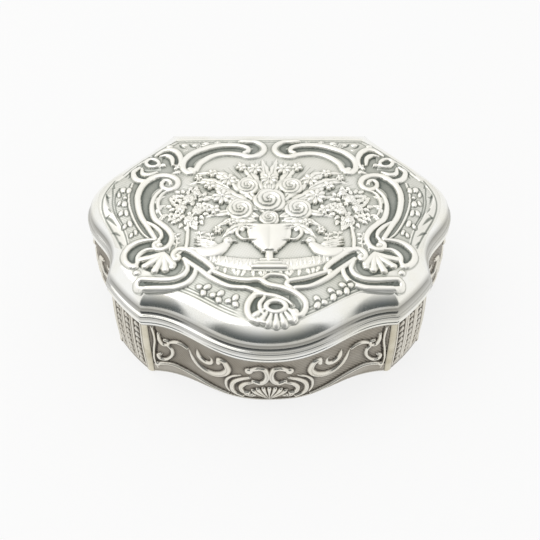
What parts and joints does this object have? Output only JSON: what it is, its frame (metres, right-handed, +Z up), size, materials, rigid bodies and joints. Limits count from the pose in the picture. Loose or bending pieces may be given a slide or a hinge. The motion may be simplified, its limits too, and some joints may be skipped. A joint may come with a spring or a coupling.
{
  "type": "snuff box",
  "caption": "Silver pocket snuff box of cartouche outline with a chased, domed lid that opens on a barrel hinge along its straight side.",
  "frame": {"origin": "on the surface that the box stands on, under the middle of its outer box", "axes": "+X along the hinge side to the right, +Y to the hinge side, +Z up"},
  "size_m": [0.086, 0.0652, 0.0318],
  "materials": {
    "chased_silver": "silver sheet, stamped and chased, dark in the recesses",
    "polished_silver": "polished silver",
    "gilt_silver": "thin gilding over silver"
  },
  "bodies": {
    "base": {"base_bottom": "polished_silver", "front_panel": "chased_silver", "ear_panel_right": "chased_silver", "side_panel_right": "chased_silver", "back_panel": "chased_silver", "side_panel_left": "chased_silver", "ear_panel_left": "chased_silver", "rib_front_right": "polished_silver", "rib_ear_right": "polished_silver", "rib_back_right": "polished_silver", "rib_back_left": "polished_silver", "rib_ear_left": "polished_silver", "rib_front_left": "polished_silver", "base_rim": "polished_silver", "bezel": "gilt_silver", "base_hinge_bearer": "polished_silver", "base_knuckle_1": "polished_silver", "base_knuckle_3": "polished_silver", "base_knuckle_5": "polished_silver", "hinge_pin": "polished_silver"},
    "lid": {"lid_shell": "chased_silver", "lid_edge_band": "polished_silver", "lid_hinge_bearer": "polished_silver", "lid_knuckle_2": "polished_silver", "lid_knuckle_4": "polished_silver"}
  },
  "joints": [
    {"name": "lid_hinge", "type": "hinge", "parent": "base", "child": "lid", "pos_m": [0, 0.0314, 0.02156], "axis": [-1, 0, 0], "range_deg": [0, 104]}
  ]
}
